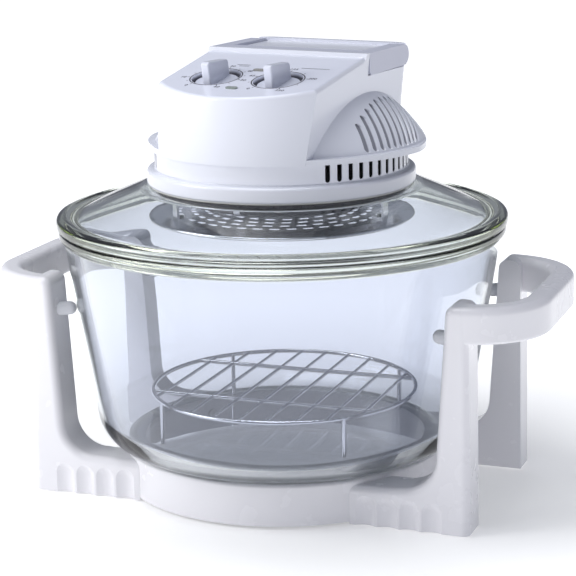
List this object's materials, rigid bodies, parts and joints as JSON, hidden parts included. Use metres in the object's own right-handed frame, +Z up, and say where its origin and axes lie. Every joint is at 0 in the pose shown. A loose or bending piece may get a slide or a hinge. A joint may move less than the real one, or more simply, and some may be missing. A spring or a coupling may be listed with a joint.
{
  "type": "halogen oven",
  "caption": "Countertop halogen oven: clear glass bowl in a white stand with side handles, glass lid with fan and lamp head, two knobs and a folding carry handle.",
  "frame": {"origin": "on the floor under the middle of the bowl", "axes": "-Y to the front, where the two knobs are, +X along the side handles, +Z up"},
  "size_m": [0.419, 0.33, 0.3201],
  "materials": {
    "stand_plastic": "glossy white moulded plastic",
    "housing_plastic": "glossy white moulded plastic",
    "handle_plastic": "smooth grey plastic",
    "knob_plastic": "glossy white moulded plastic",
    "bowl_glass": "clear tempered glass",
    "lid_glass": "clear tempered glass",
    "white_rubber": "matt white rubber",
    "silicone": "matt grey silicone sheet",
    "chromed_wire": "bright chromed steel wire",
    "chromed_sheet": "bright chromed steel sheet",
    "reflector_sheet": "polished aluminium",
    "fan_aluminium": "stamped aluminium",
    "bright_steel": "ground steel",
    "zinc_screws": "zinc plated steel",
    "galvanised_sheet": "galvanised steel sheet",
    "motor_iron": "bare steel laminations",
    "copper_wire": "enamelled copper wire",
    "bearing_bronze": "sintered bronze",
    "lamp_glass": "quartz tube with a dark coil inside",
    "ceramic_white": "unglazed white ceramic",
    "mineral_board": "pressed mineral fibre",
    "black_plastic": "black moulded plastic",
    "grey_plastic": "grey moulded plastic",
    "amber_lens": "clear amber plastic",
    "green_lens": "clear green plastic",
    "neon_glass": "small neon lamp",
    "brass_pins": "bare brass"
  },
  "bodies": {
    "stand": {"base_ring": "stand_plastic", "right_side_frame": "stand_plastic", "left_side_frame": "stand_plastic", "bowl_bumpers": "white_rubber", "foot_pads": "white_rubber", "frame_screws": "zinc_screws"},
    "bowl": {"glass_bowl": "bowl_glass"},
    "rack": {"low_rack": "chromed_wire"},
    "lid": {"glass_lid": "lid_glass", "lid_gasket": "silicone", "clamp_ring": "chromed_sheet", "clamp_screws": "zinc_screws", "lower_housing": "housing_plastic", "housing_screws": "zinc_screws", "upper_housing": "housing_plastic", "reflector": "reflector_sheet", "halogen_lamp": "lamp_glass", "lamp_ends": "ceramic_white", "lamp_clips": "bright_steel", "lamp_guard": "chromed_sheet", "guard_posts": "chromed_sheet", "guard_screws": "zinc_screws", "heat_shield": "galvanised_sheet", "insulation_pad": "mineral_board", "motor_standoffs": "bright_steel", "motor_screws": "zinc_screws", "motor_lower_bell": "galvanised_sheet", "motor_upper_bell": "galvanised_sheet", "motor_stator": "motor_iron", "motor_windings": "copper_wire", "motor_bearings": "bearing_bronze", "motor_bolts": "zinc_screws", "timer_body": "grey_plastic", "thermostat_body": "ceramic_white", "power_lens": "green_lens", "heat_lens": "amber_lens", "neon_lamps": "neon_glass", "safety_switch": "black_plastic", "power_inlet": "black_plastic", "inlet_pins": "brass_pins", "terminal_block": "ceramic_white", "thermal_cutout": "ceramic_white", "handle_pivot_pins": "bright_steel"},
    "handle": {"carry_handle": "handle_plastic"},
    "timer_knob": {"timer_knob": "knob_plastic", "timer_shaft": "bright_steel"},
    "thermostat_knob": {"thermostat_knob": "knob_plastic", "thermostat_shaft": "bright_steel"},
    "switch_plunger": {"switch_plunger": "black_plastic"},
    "rotor": {"motor_rotor": "motor_iron", "fan_shaft": "bright_steel", "convection_fan": "fan_aluminium", "cooling_fan": "fan_aluminium", "fan_nut": "zinc_screws"}
  },
  "joints": [
    {"name": "bowl_lift", "type": "slide", "parent": "stand", "child": "bowl", "axis": [0, 0, 1], "range_m": [0, 0.18]},
    {"name": "lid_lift", "type": "slide", "parent": "bowl", "child": "lid", "axis": [0, 0, 1], "range_m": [0, 0.34]},
    {"name": "rack_lift", "type": "slide", "parent": "bowl", "child": "rack", "axis": [0, 0, 1], "range_m": [0, 0.17]},
    {"name": "handle_fold", "type": "hinge", "parent": "lid", "child": "handle", "pos_m": [0.0103, 0.07328, 0.3126], "axis": [-0.9903, 0.1392, 0], "range_deg": [0, 90]},
    {"name": "timer_turn", "type": "hinge", "parent": "lid", "child": "timer_knob", "pos_m": [-0.03138, -0.04507, 0.30668], "axis": [-0.026, -0.1848, 0.9824], "range_deg": [0, 300]},
    {"name": "thermostat_turn", "type": "hinge", "parent": "lid", "child": "thermostat_knob", "pos_m": [0.01774, -0.05197, 0.30668], "axis": [-0.026, -0.1848, 0.9824], "range_deg": [0, 270]},
    {"name": "plunger_rise", "type": "slide", "parent": "lid", "child": "switch_plunger", "axis": [0, 0, 1], "range_m": [0, 0.002]},
    {"name": "fan_spin", "type": "hinge", "parent": "lid", "child": "rotor", "pos_m": [0, 0, 0.25], "axis": [0, 0, 1], "continuous": true}
  ],
  "couplings": [
    {"joint": "rack_lift", "follows": "lid_lift", "ratio": 0.5},
    {"joint": "plunger_rise", "follows": "handle_fold", "m_per_rad": 0.00127}
  ]
}
